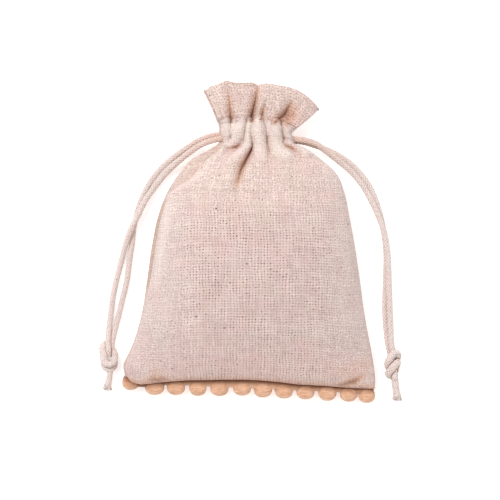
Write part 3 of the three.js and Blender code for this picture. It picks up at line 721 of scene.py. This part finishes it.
def muslin(name, light, shade, warm, cream, gap_tone, painted_shade_tones):
    """Plain-woven cotton in uneven yarns with open corners. It is smoother near the sides and the neck, and paler at
    the neck and ruffle, which is painted light. Where the fold value is above 0 it carries painted shade in the folds,
    warm in tone, and where it is below 0 a painted highlight on the gathers' crests."""
    n = Nodes(name, 0.92, 0.25)
    u, v = n.flat()
    fold = n.fold()
    # painted highlight on the gathers' crests, where the fold value is below 0; it also thins the dark holes there
    crest_highlight = n.ramp_value(fold, 0.0, -1.0)
    aside = n.ramp_value(abs(u), 0.018, 0.034)
    crepe = n.math("MAXIMUM", aside, n.ramp_value(v, 0.064, 0.086))

    # the yarns' courses
    wander = n.noise(n.place(u, v), 120, 3)
    loose = crepe * 1.3 + 0.35
    warp = wander * 1.6 + u / (WARP_PITCH * MM) + n.noise(n.place(u, v, 0.3), 460) * loose
    weft = wander * 1.3 + v / (WEFT_PITCH * MM) + n.noise(n.place(u, v, 0.7), 460) * loose
    height, gap = weave_parts(n, warp, weft)

    # each yarn's and each crossing's own tone, and the fibres'
    warp_yarn = n.speckle(n.place(n.math("FLOOR", warp), n.math("FLOOR", weft * 0.2)))
    weft_yarn = n.speckle(n.place(n.math("FLOOR", warp * 0.17), n.math("FLOOR", weft), 3.0))
    crossing = n.speckle(n.place(n.math("ROUND", warp), n.math("ROUND", weft), 7.0))
    fibre = n.noise(n.place(u * 2300, v * 1500), 1.0, 3)
    crimp = n.noise(n.place((u - v) * 1500, (u + v) * 620, 5.0), 1.0, 1)
    slub = warp_yarn * 0.17 + weft_yarn * 0.17 + fibre * 0.42 + crossing * 0.14
    slub = slub + (crimp - 0.5) * (crepe * 0.8 + 0.55)
    tone = n.ramp(slub, (0.2, shade), (0.66, light))
    pinker = n.mix(n.ramp_value(n.noise(n.place(v, u), 90), 0.45, 0.7) * 0.4, tone, warm)
    patch = n.mix(n.ramp_value(n.noise(n.place(v, u, 2.0), 130), 0.42, 0.7) * 0.3, pinker, cream)

    # furrows between the yarns, open corners and a few dark flecks
    furrow = n.ramp_value(height, 0.5, 0.12) * (crepe * -0.05 + 1)
    woven = n.mix(furrow * slub * 0.46, patch, gap_tone)
    hole = n.ramp_value(gap + n.noise(n.place(u, v), 55, 3) * 0.5 + crossing * 0.34, 0.68, 0.96)
    depth = (crepe * -0.5 + 1) * (crest_highlight * -0.6 + 1) * (crossing * 0.5 + 0.43)
    dark = n.mix(hole * depth, woven, gap_tone)
    fleck = n.ramp_value(n.noise(n.place(u, v), 560, 1), 0.73, 0.77)
    rare = n.ramp_value(n.noise(n.place(v, u), 75, 0), 0.46, 0.54)
    flecked = n.mix(fleck * rare * 0.85, dark, (0.09, 0.055, 0.05, 1))

    # tones over the whole cloth with painted light at the neck, then the painted highlight and painted shade that the
    # fold value gives
    body = (0.92, 0.915, 0.92, 1)
    # paler towards the neck and ruffle: painted light that makes up for the shade the neck gets among its folds, with a
    # slight cream tint of the cloth's own; the bottom edge is a little lighter and pinker
    level = n.ramp_value(v, 0.005, 0.098)
    upper = n.ramp(level, (0.0, (0.99, 0.94, 0.93, 1)), (0.17, body), (0.70, body), (1.0, (1.0, 1.0, 0.985, 1)))
    pale = n.mix(aside * 0.1, flecked, srgb(250, 242, 240))
    neck_lightened = n.mix(1.0, pale, upper, "MULTIPLY")
    # painted highlight: the crests mixed towards near white
    bright = n.mix(crest_highlight * 0.3, neck_lightened, srgb(254, 243, 235))
    # painted shade in the folds, darker and warmer as the fold value rises
    painted_shade = n.ramp(fold, (0.0, WHITE), *zip((0.33, 0.65, 1.0), painted_shade_tones))
    colour = n.mix(1.0, bright, painted_shade, "MULTIPLY")
    return n.finish(colour, slub * 0.9 + height, 0.00034, 0.85)


def cord_yarn():
    n = Nodes("cord_cotton", 0.9, 0.3)
    u, v = n.flat()
    wobble = n.noise(n.place(u, v), 700, 1) * 1.6
    around = u * (BRAID_BUMPS / CORD_DIAMETER / MM) + wobble
    along = v * (2 * math.pi / BRAID_PITCH / MM) + wobble
    lattice = n.math("COSINE", around) * n.math("COSINE", along)
    fibre = n.noise(n.place(u * 2600, v * 2600), 1.0, 3)
    base = n.ramp(fibre, (0.3, srgb(219, 198, 190)), (0.6, srgb(243, 230, 225)))
    speck = n.ramp_value(n.noise(n.place(u * 900, v * 900), 1.0, 1), 0.42, 0.66)
    braided = n.mix(n.ramp_value(lattice, 0.0, -0.8) * (speck * 0.6 + 0.25), base, srgb(170, 128, 110))
    # painted shade where cords and turns lie against each other, and the darkening along a strand, from the fold value
    painted_shade = n.ramp(n.fold(), (0.0, WHITE), (0.4, (0.92, 0.77, 0.69, 1)), (1.0, (0.42, 0.27, 0.20, 1)))
    colour = n.mix(1.0, braided, painted_shade, "MULTIPLY")
    return n.finish(colour, lattice + fibre * 0.6, 0.00016, 0.8)


def pompom_yarn():
    n = Nodes("pompom_yarn", 0.95, 0.4)
    place = n.out("TexCoord", output="Object")
    stretched = n.out("Mapping", {"Vector": place, "Scale": (260, 1500, 1500)})
    fibre = n.noise(stretched, 1.0, 3)
    tuft = n.noise(place, 900)
    base = n.ramp(fibre, (0.3, srgb(202, 148, 116)), (0.66, srgb(236, 191, 159)))
    tufted = n.mix(n.ramp_value(tuft, 0.6, 0.35) * 0.2, base, srgb(196, 142, 108))
    # a painted shadow under the hem, from the fold value
    return n.finish(n.mix(n.fold(), tufted, srgb(128, 78, 52)), fibre + tuft * 0.5, 0.00012, 0.5)


def tape_weave():
    n = Nodes("tan_braid", 0.95, 0.3)
    u, v = n.flat()
    height, _ = weave_parts(n, u / 0.0006, v / 0.0005)
    woven = n.ramp(height, (0.1, srgb(176, 126, 96)), (0.7, srgb(240, 192, 158)))
    # a painted shadow under the hem, from the fold value
    return n.finish(n.mix(n.fold(), woven, srgb(116, 68, 44)), height, 0.00015, 0.8)


def dried_herbs():
    n = Nodes("dried_herbs", 1.0, 0.1)
    flakes = n.add("TexVoronoi", {"Scale": 450, "Vector": n.out("TexCoord", output="Object")})
    hue = n.out("SeparateColor", {0: flakes.outputs["Color"]})
    colour = n.ramp(hue, (0.1, srgb(70, 72, 36)), (0.5, srgb(122, 118, 66)), (0.9, srgb(150, 120, 78)))
    return n.finish(colour, flakes.outputs["Distance"], 0.0008)


CLOTH_FRONT = muslin(
    "cotton_cloth",
    light=srgb(245, 222, 215),
    shade=srgb(209, 183, 176),
    warm=srgb(229, 193, 187),
    cream=srgb(233, 217, 200),
    gap_tone=srgb(108, 68, 58),
    painted_shade_tones=((0.99, 0.885, 0.79, 1), (0.87, 0.71, 0.59, 1), (0.52, 0.35, 0.27, 1)),
)
# a darker, yellower copy of the muslin with duller fold tones: painted shade for the back panel, the throat and the
# seam allowances, which lie in the front's shade
CLOTH_SHADED = muslin(
    "cotton_cloth_shaded",
    light=srgb(240, 215, 204),
    shade=srgb(204, 174, 160),
    warm=srgb(220, 185, 170),
    cream=srgb(226, 206, 188),
    gap_tone=srgb(112, 72, 60),
    painted_shade_tones=((0.91, 0.85, 0.80, 1), (0.76, 0.66, 0.59, 1), (0.50, 0.36, 0.29, 1)),
)
CORD = cord_yarn()
POMPOM = pompom_yarn()
TAPE = tape_weave()
HERBS = dried_herbs()

# ---- camera and light ----


def add_camera():
    """A long lens that looks straight down."""
    lens = bpy.data.cameras.new("camera")
    lens.sensor_width = 36
    lens.lens = 240
    lens.clip_start = 0.01
    bpy.context.scene.camera = add_object("camera", lens, (0.00005, -0.00277, 1.207))


def add_area(name, place, size, power):
    light = bpy.data.lights.new(name, "AREA")
    light.size = size
    light.energy = power
    aim = Vector((0, 0, 0.01)) - Vector(place)
    add_object(name, light, place).rotation_euler = aim.to_track_quat("-Z", "Y").to_euler()


def add_studio():
    world = bpy.data.worlds.new("studio")
    world.use_nodes = True
    background = world.node_tree.nodes["Background"]
    background.inputs["Color"].default_value = (1, 0.985, 0.975, 1)
    background.inputs["Strength"].default_value = 0.62
    bpy.context.scene.world = world
    bpy.context.scene.view_settings.view_transform = "Standard"
    add_area("key", (-0.68, 0.8, 1.45), 0.6, 18.3)
    add_area("fill", (0.9, -0.35, 1.3), 1.2, 3.8)

    mesh = bpy.data.meshes.new("floor")
    mesh.from_pydata([(-3, -3, 0), (3, -3, 0), (3, 3, 0), (-3, 3, 0)], [], [(0, 1, 2, 3)])
    floor = add_object("floor", mesh, (0, 0, -0.0001))
    paper = Nodes("pale_paper", 0.9, 0.0)
    paper.shader.inputs["Base Color"].default_value = (0.93, 0.93, 0.93, 1)
    paper.shader.inputs["Emission Color"].default_value = WHITE
    paper.shader.inputs["Emission Strength"].default_value = 0.42
    mesh.materials.append(paper.material)


# ---- cords ----


def strand_path(run, over):
    """The centreline of one strand of a doubled cord: over is True for the strand that lies over the other."""
    table = np.asarray(run, float)
    centre = table[:, :2] + CAD_SHIFT
    ahead = unit(np.gradient(centre, axis=0))
    offset = (-table[:, 2] if over else table[:, 2]) / 2
    x = centre[:, 0] - ahead[:, 1] * offset
    y = centre[:, 1] + ahead[:, 0] * offset
    z = table[:, 3] if over else table[:, 4]
    return smooth_path(np.stack([x, y, z], axis=1), STEP)


def paint_contact_shade(piece, path, others, near=0.45, darkening_along=None):
    """Paints shade on a cord where another one, or another turn of its own, lies against it. others are (path, radius),
    and darkening_along holds the darkening of the whole cord against its length."""
    around = len(piece.data.vertices) // len(path)
    places = np.array([v.co for v in piece.data.vertices]) / MM
    ring = np.arange(len(places)) // around
    closest = np.full(len(places), np.inf)
    for line, radius in others:
        gap = np.linalg.norm(places[:, None] - line[None], axis=2) - radius
        if line is path:
            step = np.linalg.norm(path[1] - path[0])
            gap[np.abs(ring[:, None] - np.arange(len(path))[None]) * step < OWN_TURN] = np.inf
        closest = np.minimum(closest, gap.min(axis=1))
    shade = 1 - smoothstep(closest, 0, near)
    if darkening_along:
        along = ring * np.linalg.norm(path[1] - path[0])
        shade = np.maximum(shade, np.interp(along, *zip(*darkening_along)))
    mark_painted_light(piece, shade)


def add_knot(name, node, turns, strands, body):
    """An overhand knot pulled tight, as the turns of cord that lie over and round one another."""
    made = []
    for k, turn in enumerate(turns):
        path = smooth_path(turn, STEP)
        centre = path[:, :3].copy()
        centre[:, 2] = np.maximum(centre[:, 2], path[:, 3] / 2 + 0.1)
        taper = list(zip(np.linspace(0, 1, len(path)), path[:, 3] / path[:, 3].max()))
        piece = braided_tube(f"{name}_{k}", centre, path[:, 3].max(), CORD, relief=0.06, taper=taper)
        made.append((piece, centre, path[:, 3] / 2))
    lines = [(centre, radius) for _, centre, radius in made]
    # painted shade where the knot's turns and the strands touch
    for piece, centre, _ in made:
        paint_contact_shade(piece, centre, lines + [(strand[::4], CORD_DIAMETER / 2) for strand in strands])
    knot = join_pieces(name, [piece for piece, _, _ in made])
    assign(knot, body, "cord_cotton", node)
    return knot


def add_frayed_end(name, node, body, seed, tail, level):
    """A cord's cut end below its knot, with its yarns coming apart. tail holds x, y and width down to the tip."""
    rng = np.random.default_rng(SEED + seed)
    shape = smooth_path(tail, STEP)
    path = np.stack([shape[:, 0], shape[:, 1], np.maximum(level, shape[:, 2] / 2 + 0.1)], axis=1)
    wide = shape[:, 2].max()
    taper = list(zip(np.linspace(0, 1, len(shape)), shape[:, 2] / wide))
    pieces = [braided_tube(name, path, wide, CORD, taper=taper)]
    start = path[-1]
    for k in range(YARNS):
        angle, out = 2.4 * k, 0.44 * wide * math.sqrt((k + 0.5) / YARNS)
        offset = np.array([math.cos(angle), 0, math.sin(angle)]) * out
        spread = np.array([1.0, 0, 0.3]) * offset * (0.2 + 0.35 * rng.random())
        reach = 0.7 + 0.9 * rng.random()
        end = start + offset + spread - [0, reach, 0]
        end[2] = max(end[2], 0.35)
        yarn_path = smooth_path([start + offset + [0, 0.9, 0], start + offset - [0, 0.2, 0], end], 0.25)
        pieces.append(braided_tube(f"{name}_yarn_{k:02d}", yarn_path, 0.5, CORD, around=8, relief=0.0))
    joined = join_pieces(name, pieces)
    assign(joined, body, "cord_cotton", node)
    return joined


def join_pieces(name, pieces):
    with bpy.context.temp_override(active_object=pieces[0], selected_editable_objects=pieces):
        bpy.ops.object.join()
    pieces[0].name = name
    return pieces[0]


def add_drawcord(side, run, turns, tail):
    body = side + "_drawcord"
    over, under = strand_path(run, True), strand_path(run, False)
    knot = add_knot(side + "_overhand_knot", side + "_knot", turns, [over[-60:], under[-60:]], body)
    first = add_frayed_end(side + "_frayed_end", side + "_cord_first_end", body, 30, tail, 2.2)
    second = add_frayed_end(side + "_frayed_end_below", side + "_cord_second_end", body, 31, tail, 0.0)
    for path, other, place, pieces in ((over, under, "over", [knot, first, second]), (under, over, "under", [])):
        strand = braided_tube(f"{side}_drawcord_{place}", path, CORD_DIAMETER, CORD)
        # painted shade where the two strands touch, and darker over the first 34 mm from the end inside the neck
        paint_contact_shade(strand, path, [(other[::3], CORD_DIAMETER / 2)], 0.3, [(4, 0.42), (14, 0.24), (34, 0.0)])
        assign(strand, body, "cord_cotton", f"{side}_cord_{place}_strand")
        tuple(path[0] * MM)
        [tuple(p) for p in (path * MM).tolist()]


# ---- cloth ----


def left_seam(v):
    """Each row's left seam, as columns: how far in from the pouch's edge it lies, where it starts across the row,
    and how wide the row is."""
    rows = rows_at(v)[:, None]
    width = rows[..., 3] - rows[..., 1]
    inset = spline(*zip(*LEFT_SEAM), v)[:, None]
    return inset, -1 + 2 * inset / width, width


def finish_cloth(cloth, fold, *nodes):
    mark_painted_light(cloth, fold)
    thicken(cloth, CLOTH)
    assign(cloth, "pouch", "cotton_cloth", *nodes)


def add_front():
    v = row_places()
    inset, start, width = left_seam(v)
    across = start + (1 - start) * np.linspace(0, 1, int(300 * FINE))
    vv = np.broadcast_to(v[:, None], across.shape)
    x, y = plan(across, vv)
    z, fold = front_shape(across, vv, x, y)
    from_seam = (across - start) * width / 2
    overlap = 0.5 * smoothstep(inset, 0.5, 2.0)
    z = z + (0.25 + overlap) * smoothstep(from_seam, 0, 1.6) - 0.5 * np.exp(-((from_seam / 0.5) ** 2))
    # painted shade along the front's left seam and along its bottom edge above the trim
    edges = np.maximum(np.exp(-(from_seam**2)) * overlap, 0.55 * (1 - smoothstep(vv, BOTTOM, BOTTOM + 1.7)))
    fold = np.where(edges > 0.02, np.maximum(fold, edges), fold)
    # a painted highlight in a band beside the left seam
    fold = fold - 0.7 * np.exp(-(((from_seam - 2.2) / 1.9) ** 2)) * smoothstep(inset, 0.6, 1.4)
    points = turned_hem(np.stack([x, y, z], axis=2), across[-1], -1)
    fold = np.concatenate([fold, np.repeat(fold[-1:], len(points) - len(fold), axis=0)])
    points = rolled_edge(points)
    # painted shade on the rows that roll under the hem
    fold = np.concatenate([np.full((len(points) - len(fold), fold.shape[1]), 0.6), fold])
    faces = grid_faces(*points.shape[:2])
    cloth = new_piece("front_cloth", points, faces, CLOTH_FRONT, flat_places(points))
    finish_cloth(cloth, fold, "front_panel", "front_casing", "front_ruffle")


def add_back():
    """The back cloth, from the left seam round the pouch's edge and under it to the right seam."""
    v = row_places()
    inset, start, _ = left_seam(v)
    share = np.linspace(0, 1, int(16 * FINE), endpoint=False)
    strip = start + (-1 - start) * share
    vv = np.broadcast_to(v[:, None], strip.shape)
    x, y = plan(strip, vv)
    z = front_height(strip, vv, x, y) - CLOTH * (1 - share**3)
    upper = np.stack([x, y, z], axis=2)

    vv, across = np.meshgrid(v, np.linspace(-1, 1, int(240 * FINE)), indexing="ij")
    x, y = plan(across, vv, REAR_MOUTH)
    z = back_height(across, vv, x, y)
    under = np.stack([x, y, z], axis=2)
    ends = np.concatenate([np.full(len(share), -1.0), across[-1]])
    under[..., 1] += 2.6 * (1 - smoothstep(vv, v[0], v[0] + 7)) * (1 - np.abs(across) ** 12)
    points = turned_hem(np.concatenate([upper, under], axis=1), ends, 1)
    faces = grid_faces(*points.shape[:2], flip=True)
    cloth = new_piece("back_cloth", points, faces, CLOTH_SHADED, flat_places(points))
    fold = np.zeros(points.shape[:2])
    level = v[:, None]
    shaded = 0.56 - 0.44 * smoothstep(level, 18, 20)  # in the front's shadow, less at the shoulder
    fold[:len(v), :len(share)] = smoothstep(inset, 0.8, 1.2) * shaded * smoothstep(-level, -33, -27)
    # a painted highlight on the back's strip and edge from the casing up, where it shows beside the front
    fold[:len(v), :len(share) + 6] -= 0.8 * smoothstep(level, CASING_TOP - 3, CASING_TOP)
    finish_cloth(cloth, fold, "back_panel", "back_casing", "back_ruffle")


def add_throat():
    """The cloth that the drawcords bunch up in the middle of the neck, as a sheaf of folds."""
    centre = sum(box_mm("gathered_core")) / 2
    angle = np.linspace(0, 2 * math.pi, 160, endpoint=False)
    fold = 0.5 + 0.5 * np.cos(13 * angle + 1.3 * np.sin(2 * angle))
    points = []
    ys = np.linspace(centre[1] - 5, centre[1] + 6.5, 24)
    for y in ys:
        open_up = smoothstep(y, centre[1] + 3, centre[1] + 6.5)
        close = smoothstep(y, ys[0] - 1, ys[0] + 2)
        wide = (11.2 - 1.5 * open_up) * close
        deep = (4.6 - 1.4 * open_up) * close
        radius = 1 - 0.42 * fold * (1 - 0.5 * open_up)
        x = centre[0] + wide * radius * np.cos(angle)
        low, high = room_at(x, y, CLOTH + 0.35)
        middle = (low + high) / 2
        z = np.clip(7.2 + deep * radius * np.sin(angle), np.minimum(low, middle), np.maximum(high, middle))
        points.append(np.stack([x, np.full_like(x, y), z], axis=1))
    points = np.array(points)
    flat = flat_places(np.concatenate([points, points[:, :1]], axis=1))[:, :-1]
    throat = new_piece("gathered_throat", points, tube_faces(*points.shape[:2]), CLOTH_SHADED, flat)
    assign(throat, "pouch", "cotton_cloth", "gathered_core")


def add_filling():
    """The herbs: a lumpy pillow inside the cloth."""
    lowest, highest, widest = -46.5, 30.0, 0.93
    v = np.arange(lowest, highest + 0.5, 1.5)
    vv, aa = np.meshgrid(v, np.linspace(-1, 1, 48) * widest, indexing="ij")
    x, y = plan(aa, vv)
    over = front_height(aa, vv, x, y) - 1.4
    under = back_height(aa, vv, x, y) + 0.9
    middle = (over + under) / 2
    thick = np.clip(over - under, 0.6, None) / 2
    lumps = 0.35 * waves(x, y, 20, 5, 2.5, 9)
    edge = np.minimum(1 - np.abs(aa) / widest, np.minimum(vv - lowest, highest - vv) / 40)
    thick = thick * np.clip(edge * 14, 0, 1) ** 0.5
    upper = np.stack([x, y, middle + thick - 0.3 - np.abs(lumps)], axis=2)
    lower = np.stack([x, y, middle - thick + np.abs(lumps) * 0.5], axis=2)
    lower[..., 2] = np.minimum(lower[..., 2], upper[..., 2])
    rows, columns = x.shape
    points = np.concatenate([upper.reshape(-1, 3), lower.reshape(-1, 3)])
    faces = grid_faces(rows, columns).tolist() + (grid_faces(rows, columns, flip=True) + rows * columns).tolist()
    rim = [(r, 0) for r in range(rows)] + [(rows - 1, c) for c in range(1, columns)]
    rim += [(r, columns - 1) for r in range(rows - 2, -1, -1)] + [(0, c) for c in range(columns - 2, 0, -1)]
    for (r, c), (r2, c2) in zip(rim, rim[1:] + rim[:1]):
        a, b = r * columns + c, r2 * columns + c2
        faces.append([a, b, b + rows * columns, a + rows * columns])
    filling = new_piece("loose_herbs", points, faces, HERBS)
    assign(filling, "pouch", "dried_herbs", "herb_filling")


# ---- fringe ----


def add_tape():
    """The trim's woven tape along the bottom seam, slightly puckered where each pompom is sewn on."""
    low, high = box_mm("fringe_braid")
    slope = math.tan(fringe_tilt())
    half = (high[0] - low[0]) / 2
    middle = (low + high) / 2
    outline = [(-1.6, 0.0), (-1.5, 0.3), (-0.6, 0.4), (0.2, 0.4), (0.7, 0.4), (1.2, 0.4), (2.1, 0.35), (2.1, -0.35)]
    outline += [(0.7, -0.4), (-0.6, -0.4), (-1.5, -0.3)]
    points = []
    rows = int(260 * FINE)
    for s in np.linspace(-1, 1, rows):
        x = middle[0] + s * half * 1.005
        wave = 0.12 * math.sin(s * half / 3.84 * math.pi * 2) + 0.15 * math.sin(s * 9)
        slack = 1.3 * (1 - smoothstep(x, -37, -28))
        y = middle[1] + s * half * slope + 0.4
        for across, height in outline:
            points.append((x, y + across - (slack if across < 0 else 0), middle[2] + height + wave))
    points = np.array(points)
    flat = np.stack([points[:, 0], points[:, 1] - points[:, 0] * slope], axis=1) * MM
    tape = new_piece("trim_tape", points, tube_faces(rows, len(outline), flip=True), TAPE, flat)
    mark_painted_light(tape, under_hem(points, -3.0, 0.2))
    assign(tape, "pouch", "tan_braid", "fringe_braid")


def under_hem(points, low, high):
    """How far into the hem's shadow each point lies, from 0 to 1."""
    return smoothstep(points[..., 1] - spline(*zip(*HEM), points[..., 0]), low, high)


def fringe_tilt():
    first, last = (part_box(f"pompom_{k:02d}") for k in (1, 12))
    start, end = (first[0] + first[1]) / 2, (last[0] + last[1]) / 2
    return math.atan2(end.y - start.y, end.x - start.x)


def add_pompoms():
    rng = np.random.default_rng(SEED + 50)
    around, up = int(56 * FINE), int(36 * FINE)
    theta = np.linspace(0, 2 * math.pi, around, endpoint=False)
    phi = np.linspace(0.02, math.pi - 0.02, up)
    for k, (x, y, width) in enumerate(POMPOMS, 1):
        centre = np.array([x, y + POMPOM_LENGTH / 2, POMPOM_HEIGHT / 2 + 0.1])
        size = np.array([width, POMPOM_LENGTH, POMPOM_HEIGHT]) / 2 * (0.98 + 0.03 * rng.random(3))
        p, t = np.meshgrid(phi, theta, indexing="ij")
        unit = np.stack([np.cos(p), np.sin(p) * np.cos(t), np.sin(p) * np.sin(t)], axis=2)
        square = np.sign(unit) * np.abs(unit) ** 0.86
        lump = 1 + 0.02 * waves(unit[..., 1] * 3 + k, unit[..., 2] * 3, 6, 6, 2.5, k)
        ridge = 0.006 * np.cos(t * 26 + 2.5 * np.sin(p * 3 + k)) * np.sin(p)
        points = centre + square * size * (lump + ridge)[..., None]
        ball = new_piece(f"pompom_ball_{k:02d}", points, tube_faces(up, around), POMPOM)
        mark_painted_light(ball, under_hem(points, -2.9, 1.0))
        assign(ball, f"swinging_pompom_{k:02d}", "pompom_yarn", f"pompom_{k:02d}")


def add_channel_loops():
    """Inside the casing each drawcord runs once round the bunched cloth and back out on its own side."""
    for side in ("left", "right"):
        node = side + "_cord_loop"
        low, high = box_mm(node)
        centre, half = (low + high) / 2, (high - low) / 2 - CORD_DIAMETER / 2
        angle = np.linspace(0, 2 * math.pi, 120, endpoint=False)
        x = centre[0] + (half[0] - 0.6) * np.sign(np.cos(angle)) * np.abs(np.cos(angle)) ** 0.8
        far = np.sign(x - centre[0]) != (-1 if side == "left" else 1)
        x = np.where(far, centre[0] + 0.8 * (x - centre[0]), x)
        y = centre[1] + 0.4 * np.sin(2 * angle)
        floor, roof = room_at(x, y, CLOTH + CORD_DIAMETER / 2 + 0.2)
        z = centre[2] + (half[2] - 1) * np.sin(angle)
        z = np.where(z > centre[2], np.minimum(z, np.maximum(roof, centre[2])), np.maximum(z, floor))
        path = np.stack([x, y, z], axis=1)
        for _ in range(6):
            path = (np.roll(path, 1, axis=0) + 2 * path + np.roll(path, -1, axis=0)) / 4
        ahead = unit(np.roll(path, -1, axis=0) - np.roll(path, 1, axis=0))
        across = unit(np.cross(ahead, [0.0, 1.0, 0.0]))
        up = np.cross(ahead, across)
        turn = np.linspace(0, 2 * math.pi, 16, endpoint=False)[None, :, None]
        ring = across[:, None] * np.cos(turn) + up[:, None] * np.sin(turn)
        points = path[:, None] + ring * CORD_DIAMETER / 2
        faces = grid_faces(len(path) + 1, 16, wrap=True) % (len(path) * 16)
        length = lengths_along(path)[:, None]
        flat = np.stack(np.broadcast_arrays(turn[..., 0] * CORD_DIAMETER / 2, length), axis=2) * MM
        loop = new_piece(side + "_channel_loop", points, faces, CORD, flat)
        assign(loop, "pouch", "cord_cotton", node)


def add_seam_allowances():
    """The panels' raw edges inside the seam, two layers together, from the neck down each side and along the bottom."""
    for side, sign in (("left", -1), ("right", 1)):
        v = np.linspace(30.5, -47.0, 150)
        edge_x, edge_y = plan(np.full_like(v, 0.985 * sign), v)
        in_x, in_y = plan(np.full_like(v, 0.90 * sign), v)
        bottom_x = np.linspace(41.0 * sign, 0.9 * sign, 60)
        bottom_y = spline(*zip(*HEM), bottom_x) + 2.0
        outer = np.stack([np.append(edge_x, bottom_x), np.append(edge_y, bottom_y)], axis=1)
        inner = np.stack([np.append(in_x, bottom_x), np.append(in_y, bottom_y + 3.4)], axis=1)
        for line in [outer, inner] * 8:
            line[1:-1] = (line[:-2] + 2 * line[1:-1] + line[2:]) / 4
        share = np.linspace(0, 1, 6)[None, :, None]
        place = outer[:, None] * (1 - share) + inner[:, None] * share
        low, high = room_at(place[..., 0], place[..., 1], CLOTH + 0.7)
        level = np.minimum((low + high) / 2, low + 1.2 + 0.25 * waves(place[..., 0], place[..., 1], 6, 14, 7, 60))
        points = np.concatenate([place, np.maximum(level, 0.9)[..., None]], axis=2)
        flat = np.concatenate([arc_lengths(points, 1)[..., None], arc_lengths(points, 0)[..., None]], axis=2) * MM
        faces = grid_faces(*points.shape[:2], flip=sign > 0)
        name = side + "_seam_allowance"
        strip = new_piece(name + "_cloth", points, faces, CLOTH_SHADED, flat)
        thicken(strip, 2 * CLOTH, offset=0)
        assign(strip, "pouch", "cotton_cloth", name)


add_camera()
add_studio()
add_drawcord("left", LEFT_RUN, LEFT_KNOT, LEFT_TAIL)
add_drawcord("right", RIGHT_RUN, RIGHT_KNOT, RIGHT_TAIL)
add_front()
add_back()
add_throat()
add_filling()
add_tape()
add_pompoms()
add_channel_loops()
add_seam_allowances()

bpy.context.view_layer.update()
